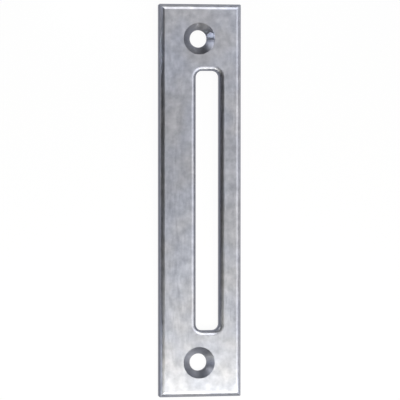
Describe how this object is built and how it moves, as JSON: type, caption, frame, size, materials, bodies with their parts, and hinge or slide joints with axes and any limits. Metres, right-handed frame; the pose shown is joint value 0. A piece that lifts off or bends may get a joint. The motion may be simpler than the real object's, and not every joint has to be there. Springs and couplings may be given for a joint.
{
  "type": "door strike plate",
  "caption": "Flat satin metal strike plate with rounded front edges, a long off-centre bolt slot and a countersunk screw hole near each end.",
  "frame": {"origin": "middle of the back face, the face that beds on the door frame", "axes": "+Z out of the front face, +Y along the plate's length, +X across the plate towards the long edge that the slot lies nearer to"},
  "size_m": [0.0254, 0.12, 0.0032],
  "materials": {
    "plate_metal": "satin, fine long grain"
  },
  "bodies": {
    "root": {"strike_plate": "plate_metal"}
  },
  "joints": []
}
